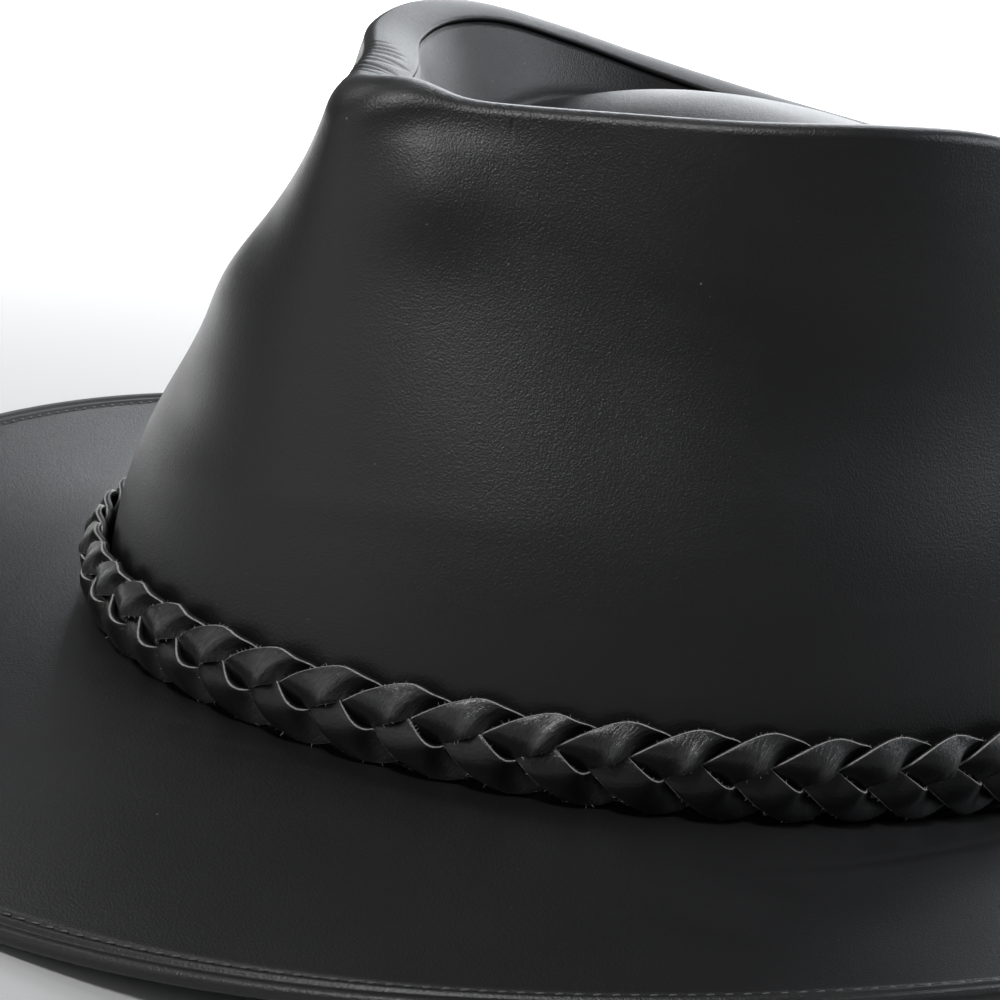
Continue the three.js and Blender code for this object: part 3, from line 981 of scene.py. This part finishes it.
def strap_outline():
    """Section of a strap: share of the half width, share of the half thickness, cut edge."""
    face = [(w, 1.0 - 0.10 * w ** 8, 0.0) for w in np.linspace(-0.95, 0.95, FACE_POINTS)]
    rim = [(0.985, 0.86, 0.75), (1.0, 0.5, 1.0), (1.0, -0.1, 0.1), (0.985, -0.9, 0.0)]
    back = [(w, -1.0, 0.0) for w in np.linspace(0.9, -0.9, 7)]
    other = [(-w, f, c) for w, f, c in rim[::-1]]
    return np.array(face + rim + back + other)


OUTLINE = strap_outline()


def unevenness(turn):
    """A smooth wave of about -1 to 1 round the whole band."""
    beats = UNEVEN.choice(np.arange(5, 16), 3, replace=False)
    starts = UNEVEN.uniform(0, 2 * math.pi, 3)
    return sum(np.sin(k * turn + a) for k, a in zip(beats, starts)) / 1.8


def strap_grid(number):
    steps = TURNS * STEPS_PER_TURN
    i = np.arange(steps)
    turn = 2 * math.pi * i / steps
    wave = TURNS * turn + 2 * math.pi * number / STRAPS
    middle, along, up, out = band_at(BAND_SHIFT + BAND_LENGTH * i / steps)
    sway = SWAY + 0.18 * unevenness(turn)
    phase = np.mod(wave, 2 * math.pi)
    low = LOW_SINK["deep"] * bell(phase - LOW_ROW, LOW_SINK["spread"])
    weave = WEAVE + 0.08 * unevenness(turn)
    centre = middle + up * (sway * np.sin(wave) - low)[:, None]
    centre = centre + out * (weave * np.sin(2 * wave))[:, None]
    slope = np.arctan(2 * math.pi * sway / (BAND_LENGTH / TURNS) * np.cos(wave))[:, None]
    across = up * np.cos(slope) - along * np.sin(slope)
    tilt = (TILT["crossing"] + 0.035 * unevenness(turn)) * np.cos(3 * wave)
    tilt = (tilt + TILT["low_row"] * bell(phase - LOW_ROW, TILT["spread"]))[:, None]
    wide = across * np.cos(tilt) + out * np.sin(tilt)
    face = out * np.cos(tilt) - across * np.sin(tilt)
    w = OUTLINE[:, 0] * STRAP_WIDTH / 2
    f = OUTLINE[:, 1] * STRAP_THICK / 2
    on_top = 0.42 + 0.58 * np.sin(2 * wave)
    arch = -ARCH["high"] * OUTLINE[:, 0] ** 2 * np.where(np.cos(wave) > 0, 1.0, ARCH["low_row"])[:, None]
    place = phase[:, None] - HUMP["place"] - HUMP["slant"] * OUTLINE[None, :, 0]
    hump = HUMP["high"] * bell(place, HUMP["spread"]) * (1 + 0.25 * unevenness(turn))[:, None]
    lift = f[None] + arch * on_top[:, None] + hump
    grid = centre[:, None] + wide[:, None] * w[None, :, None] + face[:, None] * lift[..., None]
    return grid, wave


# Besides the coat, this mask places the paler painted highlight on the humps.
def hump_mark(wave):
    """Up to 1 where the strap turns over its neighbour, most on the upper loops."""
    place = np.mod(wave, 2 * math.pi)
    upper = bell(place - 1.30, 0.55)
    lower = bell(place - LOW_ROW - 0.25, 0.30)
    return (upper + 0.25 * lower)[:, None] * (0.65 - 0.35 * OUTLINE[None, :, 0])


def make_strap(number):
    grid, wave = strap_grid(number)
    along_u = BAND_LENGTH * np.arange(len(grid)) / len(grid)
    step = np.hypot(np.diff(OUTLINE[:, 0]) * STRAP_WIDTH / 2, np.diff(OUTLINE[:, 1]) * STRAP_THICK / 2)
    across_v = np.cumsum(np.append(0, step))
    strap = swept_mesh(f"braid_strap_{number + 1}", grid, (along_u, across_v), band_leather)
    marks = {"cut_edge": np.tile(OUTLINE[:, 2], len(grid)), "hump": hump_mark(wave).reshape(-1)}
    for name, values in marks.items():
        mark = strap.data.attributes.new(name, "FLOAT", "POINT")
        mark.data.foreach_set("value", values.astype(np.float32))
    return strap, grid


made_straps = [make_strap(number) for number in range(STRAPS)]
straps = [strap for strap, grid in made_straps]
print("strap faces:", [len(strap.data.polygons) for strap in straps])

# %% [markdown]
# ## Fibres on the raw edges
#
# Cut leather sheds short fibres. They are scattered by Geometry Nodes over two narrow
# strips that follow each strap's edges: a random point, a random tilt, a random length.
# Each fibre is a slim pyramid of a few faces, because there are thousands of them.


# %% Edge fibres
FIBRE = {"long": 0.80, "radius": 0.055, "per_square_mm": 3.5, "seed": 3}


def edge_strips(grids):
    """Narrow strips of faces over the outer corners of every strap."""
    points, faces, normals = [], [], []
    core = FACE_POINTS // 2
    for grid in grids:
        steps = len(grid)
        for inner, outer in ((FACE_POINTS - 1, FACE_POINTS + 1), (0, len(OUTLINE) - 2)):
            start = sum(len(p) for p in points)
            rim = np.stack([grid[:, inner], grid[:, outer]], 1)
            away = rim[:, 1] - grid[:, core]
            away /= np.linalg.norm(away, axis=1, keepdims=True)
            points.append(rim.reshape(-1, 3))
            normals.append(np.repeat(away, 2, 0))
            i = np.arange(steps)
            j = (i + 1) % steps
            faces.append(start + np.stack([2 * i, 2 * j, 2 * j + 1, 2 * i + 1], -1))
    return np.concatenate(points), np.concatenate(faces), np.concatenate(normals)


def fibre_group():
    group = Group("edge_fibres", Density=("Float", FIBRE["per_square_mm"] / MM ** 2),
                  Length=("Float", FIBRE["long"] * MM), Radius=("Float", FIBRE["radius"] * MM),
                  Seed=("Int", FIBRE["seed"]), Material=("Material", None))
    spots = group.node("GeometryNodeDistributePointsOnFaces", Mesh=group.value("Geometry"),
                       Density=group.value("Density"), Seed=group.value("Seed"))
    hair = group.node("GeometryNodeMeshCone", {"fill_type": "NGON"}, Vertices=3, Radius_Top=0.0,
                      Radius_Bottom=group.value("Radius"), Depth=group.value("Length"))["Mesh"]
    away = group.node("GeometryNodeInputNamedAttribute", {"data_type": "FLOAT_VECTOR"}, Name="face_up")[0]
    wild = group.node("FunctionNodeRandomValue", {"data_type": "FLOAT_VECTOR"}, i0=(-0.9, -0.9, -0.5),
                      i1=(0.9, 0.9, 0.9), Seed=group.value("Seed"))[0]
    aim = group.node("ShaderNodeVectorMath", {"operation": "ADD"}, i0=away, i1=wild)[0]
    turned = group.node("FunctionNodeAlignRotationToVector", {"axis": "Z"}, Vector=aim)["Rotation"]
    size = group.node("FunctionNodeRandomValue", {"data_type": "FLOAT"}, i2=0.25, i3=1.0,
                      Seed=group.value("Seed"))[1]
    group.finish(group.node("GeometryNodeInstanceOnPoints", Points=spots["Points"], Instance=hair,
                            Rotation=turned, Scale=size)["Instances"])
    return group


fibre_skin = plain_material("raw_fibre", (0.38, 0.37, 0.36), 0.7)
points, faces, normals = edge_strips([grid for strap, grid in made_straps])
strips = base_mesh("edge_strips", points, [], faces.tolist(), normals)
fibres = fibre_group().apply("strap_edge_fibres", strips, fibre_skin)
print("fibre faces:", len(fibres.data.polygons))

# %% [markdown]
# ## Floor and light
#
# The hat lies on a plain pale table. A wide, low light and a smaller, higher one stand
# behind it on the wearer's right, and draw the far brim, the rim and the dome. A third
# stands behind on the other side. At the front one wide light is kept weak, and a small
# high one makes the highlight beside the front corner, so the leather stays black. A
# faint one stands at the left of the picture, whose sides give the lights their names.
# Two more, narrowed as by honeycomb grids, point straight down and whiten the floor.

# %% Floor, lights and world
FLOOR = {"size": 16.0, "tone": (0.62, 0.62, 0.62, 1), "roughness": 0.8, "shine": 0.2}
WORLD = {"tone": (0.95, 0.97, 1.0, 1), "strength": 0.13}
WHITE = (1.0, 1.0, 1.0)
HAT_MIDDLE = (0.0, 0.0, 0.08)

LIGHTS = {
    # name: azimuth and elevation from the hat, distance, width and height, watts, tone
    "low_window": (-150, 13, 2.0, (1.9, 0.75), 19.0, (0.93, 0.965, 1.0)),
    "dome_light": (-142, 42, 2.0, (0.7, 0.45), 6.5, (0.93, 0.965, 1.0)),
    "back_right": (148, 33, 2.0, (0.9, 0.8), 13.0, (0.90, 0.955, 1.0)),
    "front_soft": (-14, 17, 2.2, (2.0, 0.9), 5.2, WHITE),
    "front_high": (14, 57, 2.0, (0.38, 0.38), 18.5, WHITE),
    "left_front": (-72, 43, 2.0, (0.4, 0.4), 4.0, WHITE),
}
FLOOR_LIGHTS = {
    # name: place, width and height, watts, spread in degrees
    "backdrop_grid": ((-1.5, 1.25, 2.0), (1.9, 2.4), 56, 45),
    "left_floor_grid": ((-0.98, 0.50, 1.6), (0.6, 1.3), 10, 28),
}


def make_floor():
    bpy.ops.mesh.primitive_plane_add(size=FLOOR["size"])
    floor = bpy.context.object
    floor.name = "floor"
    material, tree, shader, place = new_material("pale_floor")
    shader.inputs["Base Color"].default_value = FLOOR["tone"]
    shader.inputs["Roughness"].default_value = FLOOR["roughness"]
    shader.inputs["Specular IOR Level"].default_value = FLOOR["shine"]
    floor.data.materials.append(material)


def from_hat(azimuth, elevation, distance):
    """A place seen from the hat: azimuth 0 is the front, 90 the wearer's left."""
    a, e = math.radians(azimuth), math.radians(elevation)
    way = Vector((math.sin(a) * math.cos(e), -math.cos(a) * math.cos(e), math.sin(e)))
    return Vector(HAT_MIDDLE) + way * distance


def add_light(name, place, target, size, power, tone, spread=180):
    data = bpy.data.lights.new(name, "AREA")
    data.shape = "RECTANGLE"
    data.size, data.size_y = size
    data.energy = power
    data.spread = math.radians(spread)
    data.color = tone
    light = bpy.data.objects.new(name, data)
    light.location = place
    light.rotation_mode = "QUATERNION"
    light.rotation_quaternion = (Vector(place) - Vector(target)).to_track_quat("Z", "Y")
    light.visible_camera = False
    bpy.context.collection.objects.link(light)


def make_world():
    world = bpy.data.worlds.new("studio")
    world.use_nodes = True
    background = world.node_tree.nodes["Background"]
    background.inputs["Color"].default_value = WORLD["tone"]
    background.inputs["Strength"].default_value = WORLD["strength"]
    bpy.context.scene.world = world


make_floor()
make_world()
for name, (azimuth, elevation, distance, size, power, tone) in LIGHTS.items():
    add_light(name, from_hat(azimuth, elevation, distance), HAT_MIDDLE, size, power, tone)
for name, (place, size, power, spread) in FLOOR_LIGHTS.items():
    add_light(name, place, (*place[:2], 0.0), size, power, WHITE, spread)
bpy.context.scene.view_settings.view_transform = "Standard"
print("lights:", len(LIGHTS) + len(FLOOR_LIGHTS))

# %% [markdown]
# ## Fasten everything to the frame
#
# Each piece rides on the one body and stands for its solid.

# %% Ride and replace
PIECES = [
    (crown_side, "crown_leather", "crown_side"),
    (crown_tip, "crown_leather", "crown_tip"),
    (brim, "brim_leather", "brim"),
    *[(strap, "band_leather", f"band_strand_{i + 1}") for i, strap in enumerate(straps)],
]
for piece, slot, node in PIECES:
    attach(piece, "root")
    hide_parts(node)
for piece, slot in [(row, "brim_leather") for row in stitch_rows] + [(fibres, "band_leather")]:
    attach(piece, "root")
